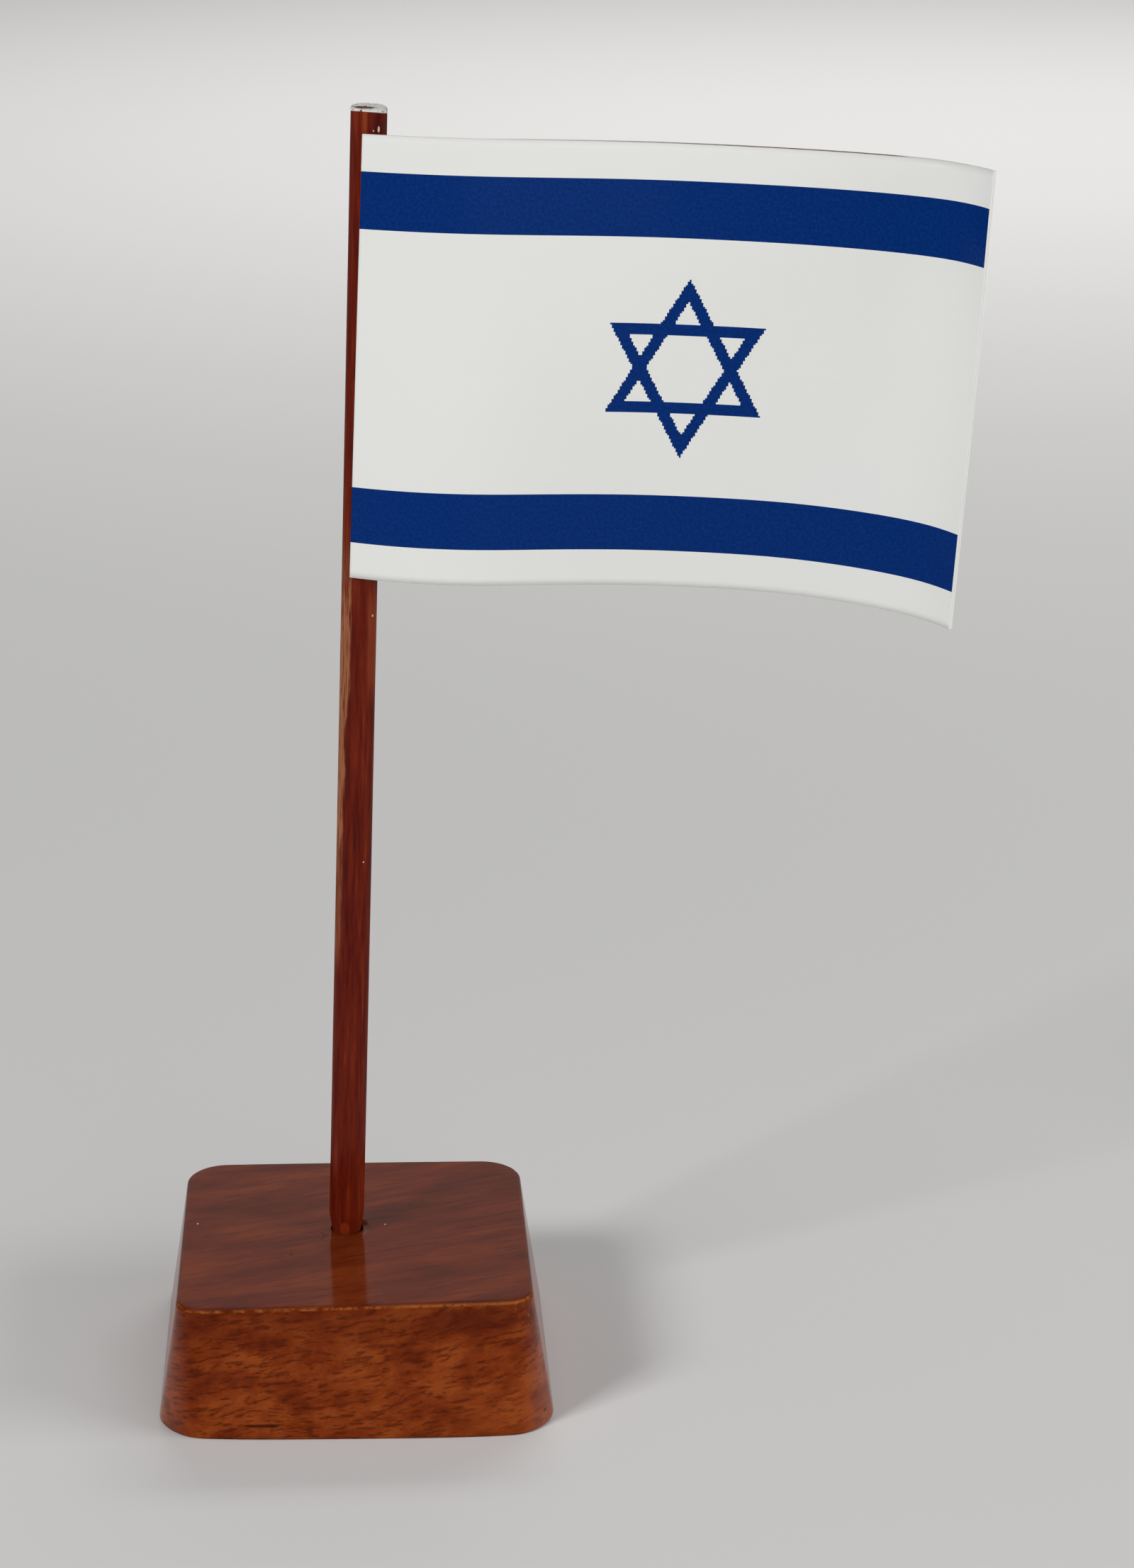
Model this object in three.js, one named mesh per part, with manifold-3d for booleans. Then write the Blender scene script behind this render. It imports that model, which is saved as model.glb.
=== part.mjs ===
// Desk flag stand: a small printed flag glued to a round stick, whose whittled
// foot stands loose in a socket drilled in a sloped, varnished wooden block.
// Millimetres, +Z up. The origin is the middle of the block's underside, with
// the block's long sides along X and the flag flying towards +X.

import * as THREE from 'three';
import { mergeVertices } from 'three/addons/utils/BufferGeometryUtils.js';
import Module from 'manifold-3d';

const wasm = await Module();
wasm.setup();

// ---------------------------------------------------------------- dimensions

// the wooden block
const BASE_HEIGHT = 31.5;
const BASE_TOP = {
  width: 83, depth: 82.8, middle: 0.9, front: 6, rear: 9.5, bow: 0.5, skew: 0.018, rearSkew: -0.014,
};
const BASE_BOTTOM = {
  width: 92.9, depth: 90.8, middle: 0, front: 10.4, rear: 12, bow: 2.6, skew: -0.028, rearSkew: 0,
};
const FOOT_ROUNDING = 0.8; // radius rounded under the lower edge
const BROW_ROUNDING = 0.9; // worn radius of the upper edge

// the socket drilled in it
const SOCKET = { x: -1.9, y: 3.2, radius: 3.8, depth: 22 };
const LEAN_RIGHT = 1.83; // degrees from plumb, towards +X
const LEAN_FRONT = 0.66; // degrees from plumb, towards -Y

// the stick, measured along its own axis from the socket's mouth
const STICK_RADIUS = { foot: 4.2, tip: 4.05 }; // it tapers a little
const STICK_LENGTH = 270; // mouth of the socket to the tip
const STICK_FOOT = 21.6; // length held inside the socket
const STICK_SHIFT = { x: -0.1, y: -0.15 }; // it stands against one side
const FOOT_RADIUS = 3.42; // between the knife cuts
const WHITTLE_LENGTH = 5.4; // height over which the full round is reached
const TIP_SLOPE = { right: 0.01, front: 0.06 }; // the sawn end isn't square
const TIP_CHAMFER = 0.35;

// the flag
const FLAG_WIDTH = 143.7; // hoist to fly, measured along the curved sheet
const FLAG_HEIGHT = 100;
const FLAG_BELOW_TIP = 5.4;
const PRINT_THICKNESS = 0.3;
const FILM_THICKNESS = 0.1;
const LAYER_GAP = 0.03;
const BEAD_GAP = 0.08;
const ROW_DROP = 0.004; // the rows sink a little towards the fly
const REAR_RISE = 0.2; // the film and the back print were glued on a little high
const GLUE_THICKNESS = 0.4; // least distance from the stick to the back print
const GLUE_FROM = 0.3; // the bead's width, from the hoist edge inwards
const GLUE_TO = 3.1;

// how the sheet bends: where its hoist edge sits round the stick, and its
// heading at nine even stations from hoist to fly, in degrees from +X (negative
// comes forward), along its upper and its lower edge
const HOIST_ANGLE = { upper: -15.9, lower: -26.2 };
const HEADINGS = {
  upper: [-9, -1, 6, 5, -3, -8, -15, -30, -70],
  lower: [-21, -6, 8, 6, -2, -10, -25, -40, -62],
};

const { degToRad, lerp } = THREE.MathUtils;

// ------------------------------------------------------------------- helpers

// A closed mesh from rings of equally many points, each ring joined to the
// next, with the first and the last ring closed by a fan round their middles.
function solidFromRings(rings) {
  const count = rings[0].length;
  const points = rings.flat();
  const faces = [];
  for (let r = 0; r < rings.length - 1; r += 1) {
    for (let i = 0; i < count; i += 1) {
      const a = r * count + i;
      const b = r * count + ((i + 1) % count);
      faces.push(a, b, b + count, a, b + count, a + count);
    }
  }
  const ends = [[0, 1], [(rings.length - 1) * count, 0]];
  for (const [first, flipped] of ends) {
    const middle = new THREE.Vector3();
    for (let i = 0; i < count; i += 1) middle.add(points[first + i]);
    points.push(middle.divideScalar(count));
    for (let i = 0; i < count; i += 1) {
      const a = first + i;
      const b = first + ((i + 1) % count);
      if (flipped) faces.push(b, a, points.length - 1);
      else faces.push(a, b, points.length - 1);
    }
  }
  return geometryFrom(points, faces);
}

function geometryFrom(points, faces) {
  const geometry = new THREE.BufferGeometry().setFromPoints(points);
  geometry.setIndex(faces);
  return geometry;
}

function manifoldFrom(geometry) {
  const plain = geometry.clone();
  plain.deleteAttribute('normal');
  plain.deleteAttribute('uv');
  const merged = mergeVertices(plain, 1e-5);
  return new wasm.Manifold(new wasm.Mesh({
    numProp: 3,
    vertProperties: new Float32Array(merged.attributes.position.array),
    triVerts: new Uint32Array(merged.index.array),
  }));
}

function geometryFromManifold(solid) {
  const { vertProperties, triVerts } = solid.getMesh();
  const geometry = new THREE.BufferGeometry();
  geometry.setAttribute('position', new THREE.BufferAttribute(vertProperties, 3));
  geometry.setIndex(new THREE.BufferAttribute(triVerts, 1));
  return geometry;
}

function namedMesh(name, geometry, color, roughness) {
  geometry.computeVertexNormals();
  const material = new THREE.MeshStandardMaterial({ color, roughness, metalness: 0 });
  const mesh = new THREE.Mesh(geometry, material);
  mesh.name = name;
  return mesh;
}

// A rectangle with round corners whose front and rear sides bow out slightly,
// as a ring at height z, shrunk by inset all round. The front and the rear side
// are a little out of square: skew and rearSkew are their slopes in plan, and
// middle is how far to the rear the ring's middle lies.
function blockRing({ width, depth, middle, front, rear, bow, skew, rearSkew }, z, inset) {
  const ARC_STEPS = 7;
  const SIDE_STEPS = 6;
  const halfWidth = width / 2 - inset;
  const halfDepth = depth / 2 - inset - bow;
  const corners = [
    { x: 1, y: 1, radius: rear, turn: 0 },
    { x: -1, y: 1, radius: rear, turn: 90 },
    { x: -1, y: -1, radius: front, turn: 180 },
    { x: 1, y: -1, radius: front, turn: 270 },
  ];
  const ring = [];
  for (const [index, corner] of corners.entries()) {
    const radius = Math.max(corner.radius - inset, 1);
    const centreX = corner.x * (halfWidth - radius);
    const centreY = corner.y * (halfDepth - radius);
    for (let i = 0; i <= ARC_STEPS; i += 1) {
      const angle = degToRad(corner.turn + (90 * i) / ARC_STEPS);
      const x = centreX + radius * Math.cos(angle);
      const y = centreY + radius * Math.sin(angle);
      ring.push(new THREE.Vector3(x, y, z));
    }
    const next = corners[(index + 1) % corners.length];
    const nextRadius = Math.max(next.radius - inset, 1);
    if (corner.y === next.y) {
      const from = ring.at(-1).x;
      const to = next.x * (halfWidth - nextRadius);
      for (let i = 1; i < SIDE_STEPS; i += 1) {
        ring.push(new THREE.Vector3(lerp(from, to, i / SIDE_STEPS), corner.y * halfDepth, z));
      }
    }
  }
  for (const point of ring) {
    const across = Math.min(Math.abs(point.x) / halfWidth, 1);
    const facing = Math.min(Math.abs(point.y) / halfDepth, 1);
    const bulge = bow * facing * (1 - across ** 4);
    const slant = (point.y > 0 ? rearSkew : skew) * facing * point.x;
    point.y += middle + slant + Math.sign(point.y) * bulge;
  }
  return ring;
}

// Frame of the leaning stick: its origin is the middle of the socket's mouth
// and its own z runs up the stick.
function leaningFrame() {
  const up = new THREE.Vector3(
    Math.tan(degToRad(LEAN_RIGHT)), -Math.tan(degToRad(LEAN_FRONT)), 1,
  ).normalize();
  const turn = new THREE.Quaternion().setFromUnitVectors(new THREE.Vector3(0, 0, 1), up);
  const mouth = new THREE.Vector3(SOCKET.x, SOCKET.y, BASE_HEIGHT);
  return new THREE.Matrix4().compose(mouth, turn, new THREE.Vector3(1, 1, 1));
}

// ---------------------------------------------------------------- base block

function baseBlock() {
  const mix = (t) => Object.fromEntries(
    Object.keys(BASE_TOP).map((key) => [key, lerp(BASE_BOTTOM[key], BASE_TOP[key], t)]),
  );
  const rings = [];
  for (const angle of [0, 30, 60, 90]) {
    const z = FOOT_ROUNDING * (1 - Math.cos(degToRad(angle)));
    const inset = FOOT_ROUNDING * (1 - Math.sin(degToRad(angle)));
    rings.push(blockRing(mix(z / BASE_HEIGHT), z, inset));
  }
  for (const angle of [0, 45, 90]) {
    const z = BASE_HEIGHT - BROW_ROUNDING * (1 - Math.sin(degToRad(angle)));
    const inset = BROW_ROUNDING * (1 - Math.cos(degToRad(angle)));
    rings.push(blockRing(mix(z / BASE_HEIGHT), z, inset));
  }
  const block = manifoldFrom(solidFromRings(rings));

  const OVER_CUT = 4; // the drill starts this far above the mouth
  const drill = new THREE.CylinderGeometry(
    SOCKET.radius, SOCKET.radius, SOCKET.depth + OVER_CUT, 36,
  );
  drill.rotateX(Math.PI / 2);
  drill.translate(0, 0, (OVER_CUT - SOCKET.depth) / 2);
  drill.applyMatrix4(leaningFrame());
  const drilled = block.subtract(manifoldFrom(drill));
  return namedMesh('base_block', geometryFromManifold(drilled), 0x8a4a2c, 0.32);
}

// --------------------------------------------------------------------- stick

// Knife cuts that turn the stick into its foot: each is a flat facing one way
// (degrees round the stick) that reaches the full round at its own height.
const KNIFE_CUTS = [
  { facing: -97, radius: 3.3, reach: 3.4 },
  { facing: -38, radius: 3.3, reach: 5.4 },
  { facing: 18, radius: 3.26, reach: 6.2 },
  { facing: 78, radius: 3.34, reach: 5.0 },
  { facing: 138, radius: 3.3, reach: 5.8 },
  { facing: -158, radius: 3.42, reach: 5.2 },
];

// Radius of the full round at a height on the stick.
function roundRadius(height) {
  return lerp(STICK_RADIUS.foot, STICK_RADIUS.tip, Math.max(height, 0) / STICK_LENGTH);
}

function stickRadius(angle, height) {
  const settle = THREE.MathUtils.smoothstep(height, -1, WHITTLE_LENGTH);
  let radius = lerp(FOOT_RADIUS, roundRadius(height), settle);
  for (const cut of KNIFE_CUTS) {
    const turn = Math.cos(angle - degToRad(cut.facing));
    const slope = (STICK_RADIUS.foot - cut.radius) / cut.reach;
    const flat = cut.radius + slope * Math.max(height, 0);
    if (turn > 0.5) radius = Math.min(radius, flat / turn);
  }
  return radius;
}

function stick() {
  const SIDES = 36;
  const END_BEVEL = { height: 0.8, inset: 0.6 }; // of the foot's hidden end
  const WHITTLE_STEP = 0.9;
  const WHITTLE_TOP = 7.3; // above the highest reach of a knife cut
  const stations = [-STICK_FOOT, -STICK_FOOT + END_BEVEL.height, -8, 0];
  for (let height = WHITTLE_STEP; height < WHITTLE_TOP; height += WHITTLE_STEP) {
    stations.push(height);
  }
  const rings = stations.map((height, index) => {
    const ring = [];
    for (let i = 0; i < SIDES; i += 1) {
      const angle = (2 * Math.PI * i) / SIDES;
      const radius = stickRadius(angle, height) - (index === 0 ? END_BEVEL.inset : 0);
      ring.push(new THREE.Vector3(radius * Math.cos(angle), radius * Math.sin(angle), height));
    }
    return ring;
  });
  for (const trim of [TIP_CHAMFER, 0]) {
    const ring = [];
    for (let i = 0; i < SIDES; i += 1) {
      const angle = (2 * Math.PI * i) / SIDES;
      const radius = STICK_RADIUS.tip - (trim ? 0 : TIP_CHAMFER);
      const x = radius * Math.cos(angle);
      const y = radius * Math.sin(angle);
      const z = STICK_LENGTH - trim - TIP_SLOPE.right * x + TIP_SLOPE.front * y;
      ring.push(new THREE.Vector3(x, y, z));
    }
    rings.push(ring);
  }
  return namedMesh('pole', solidFromRings(rings), 0x5c1c12, 0.3);
}

// ---------------------------------------------------------------------- flag

// Heading of the sheet, in radians, at a distance along it (0 hoist to 1 fly)
// and down it (0 upper edge to 1 lower edge), by a smooth curve through the
// stations.
function headingAlong(stations, along) {
  const place = along * (stations.length - 1);
  const index = Math.min(Math.floor(place), stations.length - 2);
  const at = (i) => stations[THREE.MathUtils.clamp(i, 0, stations.length - 1)];
  const t = place - index;
  const rise = (at(index + 1) - at(index - 1)) / 2;
  const nextRise = (at(index + 2) - at(index)) / 2;
  const a = 2 * at(index) - 2 * at(index + 1) + rise + nextRise;
  const b = -3 * at(index) + 3 * at(index + 1) - 2 * rise - nextRise;
  return degToRad(((a * t + b) * t + rise) * t + at(index));
}

function heading(along, down) {
  const upper = headingAlong(HEADINGS.upper, along);
  return lerp(upper, headingAlong(HEADINGS.lower, along), down);
}

const FLAG_TOP = STICK_LENGTH - FLAG_BELOW_TIP;
const FLAG_DEPTH = 2 * PRINT_THICKNESS + FILM_THICKNESS + 2 * LAYER_GAP;
const HOIST_RADIUS = roundRadius(FLAG_TOP - FLAG_HEIGHT) + GLUE_THICKNESS + FLAG_DEPTH;
const COLUMNS = 40;
const ROWS = 6;

function hoistPoint(down) {
  const at = (angle) => new THREE.Vector3(
    HOIST_RADIUS * Math.sin(degToRad(angle)), -HOIST_RADIUS * Math.cos(degToRad(angle)), 0,
  );
  return at(HOIST_ANGLE.upper).lerp(at(HOIST_ANGLE.lower), down);
}

// The front face of the sheet along one row, as points with the way to its
// back face.
function flagRow(down, columns, width) {
  const FINE = 8;
  const step = width / (columns * FINE);
  const place = hoistPoint(down);
  const start = place.x;
  const row = [];
  for (let i = 0; i <= columns * FINE; i += 1) {
    const turn = heading((i * step) / FLAG_WIDTH, down);
    if (i % FINE === 0) {
      const z = FLAG_TOP - FLAG_HEIGHT * down - ROW_DROP * (place.x - start);
      row.push({
        point: new THREE.Vector3(place.x, place.y, z),
        back: new THREE.Vector3(-Math.sin(turn), Math.cos(turn), 0),
      });
    }
    const middle = heading(((i + 0.5) * step) / FLAG_WIDTH, down);
    place.x += Math.cos(middle) * step;
    place.y += Math.sin(middle) * step;
  }
  return row;
}

// One layer of the flag, between two depths behind the sheet's front face. Both
// its faces are split along the same diagonals, so that layers lie flat on each
// other, and a wall of two triangles a step closes it round the edge.
function flagLayer(name, near, far, rise, color, roughness) {
  const rows = [];
  for (let r = 0; r <= ROWS; r += 1) rows.push(flagRow(r / ROWS, COLUMNS, FLAG_WIDTH));
  const face = (depth) => rows.flatMap(
    (row) => row.map(({ point, back }) => {
      const place = point.clone().addScaledVector(back, depth);
      place.z += rise;
      return place;
    }),
  );
  const points = [...face(near), ...face(far)];
  const rearFrom = points.length / 2;
  const index = (r, c) => r * (COLUMNS + 1) + c;
  const faces = [];
  for (let r = 0; r < ROWS; r += 1) {
    for (let c = 0; c < COLUMNS; c += 1) {
      const [a, b] = [index(r, c), index(r, c + 1)];
      const [d, e] = [index(r + 1, c), index(r + 1, c + 1)];
      faces.push(a, d, e, a, e, b);
      faces.push(...[a, e, d, a, b, e].map((corner) => corner + rearFrom));
    }
  }
  const edge = [];
  for (let c = 0; c < COLUMNS; c += 1) edge.push(index(0, c));
  for (let r = 0; r < ROWS; r += 1) edge.push(index(r, COLUMNS));
  for (let c = COLUMNS; c > 0; c -= 1) edge.push(index(ROWS, c));
  for (let r = ROWS; r > 0; r -= 1) edge.push(index(r, 0));
  for (const [i, a] of edge.entries()) {
    const b = edge[(i + 1) % edge.length];
    faces.push(a, b, b + rearFrom, a, b + rearFrom, a + rearFrom);
  }
  return namedMesh(name, geometryFrom(points, faces), color, roughness);
}

// The bead of glue between the stick and the back print.
function glueBead() {
  const SLICES = 10;
  const ACROSS = 4;
  const END_MARGIN = 0.015;
  const STRIP_WIDTH = 5; // only this much of the sheet is followed
  const STRIP_COLUMNS = 20;
  const rings = [];
  for (let i = 0; i <= SLICES; i += 1) {
    const down = lerp(END_MARGIN, 1 - END_MARGIN, 1 - i / SLICES);
    const row = flagRow(down, STRIP_COLUMNS, STRIP_WIDTH);
    const outer = [];
    const inner = [];
    for (let j = 0; j <= ACROSS; j += 1) {
      const distance = lerp(GLUE_FROM, GLUE_TO, j / ACROSS);
      const { point, back } = row[Math.round((distance / STRIP_WIDTH) * STRIP_COLUMNS)];
      const face = point.clone().addScaledVector(back, FLAG_DEPTH + BEAD_GAP);
      const reach = Math.hypot(face.x, face.y);
      const scale = (roundRadius(face.z) + BEAD_GAP) / reach;
      outer.push(face);
      inner.push(new THREE.Vector3(face.x * scale, face.y * scale, face.z));
    }
    rings.push([...outer, ...inner.reverse()]);
  }
  return namedMesh('glue_bead', solidFromRings(rings), 0xc9b184, 0.35);
}

// ------------------------------------------------------------------ assembly

const group = new THREE.Group();
group.add(baseBlock());

const stickAndFlag = new THREE.Group();
stickAndFlag.applyMatrix4(leaningFrame());
stickAndFlag.translateX(STICK_SHIFT.x);
stickAndFlag.translateY(STICK_SHIFT.y);
stickAndFlag.add(stick());
stickAndFlag.add(glueBead());

const filmNear = PRINT_THICKNESS + LAYER_GAP;
const filmFar = filmNear + FILM_THICKNESS;
const backNear = filmFar + LAYER_GAP;
stickAndFlag.add(flagLayer('flag_front_print', 0, PRINT_THICKNESS, 0, 0xe6e8e4, 0.25));
stickAndFlag.add(flagLayer('adhesive_film', filmNear, filmFar, REAR_RISE, 0x7c6a5c, 0.6));
stickAndFlag.add(flagLayer('flag_back_print', backNear, FLAG_DEPTH, REAR_RISE, 0xe6e8e4, 0.25));
group.add(stickAndFlag);

export default group;
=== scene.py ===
# %% [markdown]
# # A desk flag on a wooden block
#
# The object is a small printed flag glued to a round stick. The stick's whittled
# foot stands loose in a hole drilled in a varnished wooden block. What is left
# to do is the look: wood with real figure under a hard varnish, a lacquered
# stick with the marks of its making, and glossy prints that bend as one stiff
# sheet.

# %% Load the frame
import bpy
import math
from mathutils import Matrix, Vector, noise


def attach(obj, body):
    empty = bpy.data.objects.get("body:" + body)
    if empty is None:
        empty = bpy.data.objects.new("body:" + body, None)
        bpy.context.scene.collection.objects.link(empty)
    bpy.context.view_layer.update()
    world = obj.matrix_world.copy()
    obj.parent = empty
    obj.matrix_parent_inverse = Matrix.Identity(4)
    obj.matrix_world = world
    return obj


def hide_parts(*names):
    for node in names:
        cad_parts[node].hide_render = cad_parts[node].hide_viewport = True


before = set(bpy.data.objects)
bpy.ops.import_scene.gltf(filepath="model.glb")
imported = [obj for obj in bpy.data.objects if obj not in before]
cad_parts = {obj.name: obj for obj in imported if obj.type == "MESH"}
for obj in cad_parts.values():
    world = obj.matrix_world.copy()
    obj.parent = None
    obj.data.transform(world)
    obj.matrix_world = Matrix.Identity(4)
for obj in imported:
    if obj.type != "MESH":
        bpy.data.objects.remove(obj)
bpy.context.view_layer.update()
scene = bpy.context.scene
MM = 0.001

# %% [markdown]
# ## The camera
#
# A long lens about 0.8 m away looks slightly down on the flag. The camera is
# placed by where it stands and by three angles, the way a tripod head is set:
# turn, tilt and roll. No lens shift is needed.

# %% Camera
CAMERA_PLACE = Vector((1.6, -784.3, 398.2)) * MM
CAMERA_TURN = 3.592
CAMERA_TILT = 17.864
CAMERA_ROLL = 0.33
CAMERA_LENS = 81.34


def make_camera():
    data = bpy.data.cameras.new("camera")
    data.sensor_width = 36
    data.lens = CAMERA_LENS
    data.clip_start = 0.01
    data.clip_end = 50
    camera = bpy.data.objects.new("camera", data)
    scene.collection.objects.link(camera)
    turn = Matrix.Rotation(math.radians(-CAMERA_TURN), 4, "Z")
    tilt = Matrix.Rotation(math.radians(90 - CAMERA_TILT), 4, "X")
    roll = Matrix.Rotation(math.radians(CAMERA_ROLL), 4, "Z")
    camera.matrix_world = Matrix.Translation(CAMERA_PLACE) @ turn @ tilt @ roll
    scene.camera = camera
    return camera


camera = make_camera()
print("camera at", tuple(round(v, 3) for v in camera.location))

# %% [markdown]
# ## Turning points into meshes
#
# All the pieces are round or sheet-like, so two helpers make them. `skin_rings`
# joins a row of rings, each with the same number of points, into one closed skin,
# which suits the block and the stick. `skin_sheet` closes two equal grids, a front
# and a back, into one thin solid, which suits the prints. Making the meshes from
# points keeps the quads even, so that the surface can be given its small
# unevenness in real geometry.

# %% Mesh helpers
def make_piece(name, points, faces, own, values=None, flat_faces=0):
    """A smooth-shaded mesh object from points in mm. Each point also keeps its
    place in the piece's own measure, own, and any further values. The last
    flat_faces faces are left flat, so that a cut edge stays crisp."""
    mesh = bpy.data.meshes.new(name)
    mesh.from_pydata([tuple(p * MM) for p in points], [], faces)
    place = mesh.attributes.new("own_mm", "FLOAT_VECTOR", "POINT")
    place.data.foreach_set("vector", [v for p in own for v in p])
    for key, numbers in (values or {}).items():
        attribute = mesh.attributes.new(key, "FLOAT", "POINT")
        attribute.data.foreach_set("value", numbers)
    mesh.shade_smooth()
    for face in mesh.polygons[len(faces) - flat_faces:]:
        face.use_smooth = False
    piece = bpy.data.objects.new(name, mesh)
    scene.collection.objects.link(piece)
    return piece


def skin_rings(rings):
    """Points and faces of a closed skin over a row of rings."""
    count = len(rings[0])
    points = [p for ring in rings for p in ring]
    faces = []
    for r in range(len(rings) - 1):
        for i in range(count):
            a, b = r * count + i, r * count + (i + 1) % count
            faces.append((a, b, b + count, a + count))
    for first, flipped in ((0, True), ((len(rings) - 1) * count, False)):
        middle = len(points)
        points.append(sum((points[first + i] for i in range(count)), Vector()) / count)
        for i in range(count):
            a, b = first + i, first + (i + 1) % count
            faces.append((b, a, middle) if flipped else (a, b, middle))
    return points, faces


def skin_sheet(front, back):
    """Points and faces of a thin solid between two equal grids of points."""
    rows, columns = len(front), len(front[0])
    points = [p for row in front for p in row] + [p for row in back for p in row]
    behind = rows * columns
    faces = []
    for r in range(rows - 1):
        for c in range(columns - 1):
            a, b = r * columns + c, r * columns + c + 1
            d, e = a + columns, b + columns
            faces.append((a, d, e, b))
            faces.append((a + behind, b + behind, e + behind, d + behind))
    top = list(range(columns - 1))
    fly = [r * columns + columns - 1 for r in range(rows - 1)]
    bottom = [(rows - 1) * columns + c for c in range(columns - 1, 0, -1)]
    hoist = [r * columns for r in range(rows - 1, 0, -1)]
    edge = top + fly + bottom + hoist
    for i, a in enumerate(edge):
        b = edge[(i + 1) % len(edge)]
        faces.append((a, b, b + behind, a + behind))
    return points, faces


def blend(a, b, t):
    return a + (b - a) * t


def ease(low, high, value):
    """0 below low, 1 above high, and a smooth rise between them."""
    t = min(max((value - low) / (high - low), 0), 1)
    return t * t * (3 - 2 * t)


def wobble(x, y, z, size, seed=0):
    """A smooth, repeatable unevenness from -1 to 1, with bumps of about size."""
    return noise.noise(Vector((x / size + seed, y / size, z / size)))


print("helpers ready")

# %% [markdown]
# ## The wooden block
#
# The block is sawn with sloping sides, sanded round at its corners and drilled
# once. It could be a cube with bevels, but its corners are rounder at the foot
# than at the brow, its front and rear sides bow out a little and no side is quite
# square to the next. So it is built from rings: each ring is a rounded rectangle
# at its own height, bowed and slanted by amounts that run from the foot's values
# to the top's. The last rings shrink over the top face into the drilled hole and
# run down its wall, which makes one closed skin with a real socket in it.

# %% Block shape
BLOCK_HEIGHT = 31.5
BLOCK_TOP = {
    "width": 83, "depth": 82.8, "middle": 0.9, "front": 6, "rear": 9.5,
    "bow": 0.5, "skew": 0.018, "rear_skew": -0.014,
}
BLOCK_BOTTOM = {
    "width": 92.9, "depth": 90.8, "middle": 0, "front": 10.4, "rear": 12,
    "bow": 2.6, "skew": -0.028, "rear_skew": 0,
}
FOOT_ROUNDING = 0.8
BROW_ROUNDING = 0.9
SOCKET_PLACE = Vector((-1.9, 3.2, BLOCK_HEIGHT))
SOCKET_RADIUS = 3.8
SOCKET_DEPTH = 22
LEAN_RIGHT = 1.83
LEAN_FRONT = 0.66
CORNER_STEPS = 22
SIDE_STEPS = 34

stick_way = Vector((math.tan(math.radians(LEAN_RIGHT)), -math.tan(math.radians(LEAN_FRONT)), 1))
stick_turn = Vector((0, 0, 1)).rotation_difference(stick_way.normalized()).to_matrix().to_4x4()
socket_frame = Matrix.Translation(SOCKET_PLACE) @ stick_turn


def block_ring(height, inset):
    """One rounded rectangle of the block, with its corners in order from the right rear."""
    t = height / BLOCK_HEIGHT
    size = {key: blend(BLOCK_BOTTOM[key], BLOCK_TOP[key], t) for key in BLOCK_TOP}
    half_width = size["width"] / 2 - inset
    half_depth = size["depth"] / 2 - inset - size["bow"]
    corners = ((1, 1, "rear"), (-1, 1, "rear"), (-1, -1, "front"), (1, -1, "front"))
    ring = []
    for index, (side_x, side_y, where) in enumerate(corners):
        radius = max(size[where] - inset, 1)
        centre = Vector((side_x * (half_width - radius), side_y * (half_depth - radius), height))
        for i in range(CORNER_STEPS + 1):
            angle = math.radians(90 * (index + i / CORNER_STEPS))
            ring.append(centre + radius * Vector((math.cos(angle), math.sin(angle), 0)))
        next_x, next_y, next_where = corners[(index + 1) % 4]
        next_radius = max(size[next_where] - inset, 1)
        if side_y == next_y:
            end = Vector((next_x * (half_width - next_radius), next_y * half_depth, height))
        else:
            end = Vector((next_x * half_width, next_y * (half_depth - next_radius), height))
        start = ring[-1].copy()
        ring += [start.lerp(end, i / SIDE_STEPS) for i in range(1, SIDE_STEPS)]
    for point in ring:
        across = min(abs(point.x) / half_width, 1)
        facing = min(abs(point.y) / half_depth, 1)
        bulge = size["bow"] * facing * (1 - across ** 4)
        slant = size["rear_skew" if point.y > 0 else "skew"] * facing * point.x
        point.y += size["middle"] + slant + math.copysign(bulge, point.y)
    return ring


print("a ring of the block has", len(block_ring(0, 0)), "points")

# %% [markdown]
# Hand sanding never leaves a dead flat face, and a brow is dented and worn by
# handling. Both are given to the points themselves: a slow wave of a few
# hundredths of a millimetre makes the long reflections bend, and short dents are
# let into the brow. Each point also keeps a value for how far it lies on a rounded
# edge, and one for whether it lies on the top, which the varnish reads later: the
# first marks wear, and on the front brow also a painted highlight.

# %% Block piece
FOOT_STEPS = 6
SIDE_STEPS_UP = 16
BROW_STEPS = 8
TOP_STEPS = 22
SANDING = 0.05  # depth of the marks on the sides
BROW_SANDING = 0.03
DENT_DEPTH = 0.32
TOP_WAVE = 0.02
MOUTH_BEVEL = 0.25  # the hole's edge is broken by this much
HOLE_WALL = (
    # depth, and how much wider than the drill
    (0.12, 0.08), (0.4, 0), (2, 0), (6, 0), (12, 0), (SOCKET_DEPTH, 0),
)


def sanded(point, depth):
    """The point moved inwards by sanding marks."""
    out = Vector((point.x, point.y, 0)).normalized()
    wave = wobble(point.x, point.y, point.z, 17)
    return point - out * depth * (1 + wave)


def top_rings(brow):
    """Rings from the brow to the mouth of the hole, over the flat top."""
    mouth = []
    for point in brow:
        way = Vector((point.x - SOCKET_PLACE.x, point.y - SOCKET_PLACE.y, 0)).normalized()
        mouth.append(socket_frame @ (way * (SOCKET_RADIUS + MOUTH_BEVEL)))
    rings = []
    for i in range(1, TOP_STEPS + 1):
        t = i / TOP_STEPS
        ring = [a.lerp(b, t) for a, b in zip(brow, mouth)]
        for point in ring:
            wave = wobble(point.x, point.y, 0, 23) - 1
            point.z = BLOCK_HEIGHT + TOP_WAVE * wave * (1 - t)
        rings.append(ring)
    return rings, mouth


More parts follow.
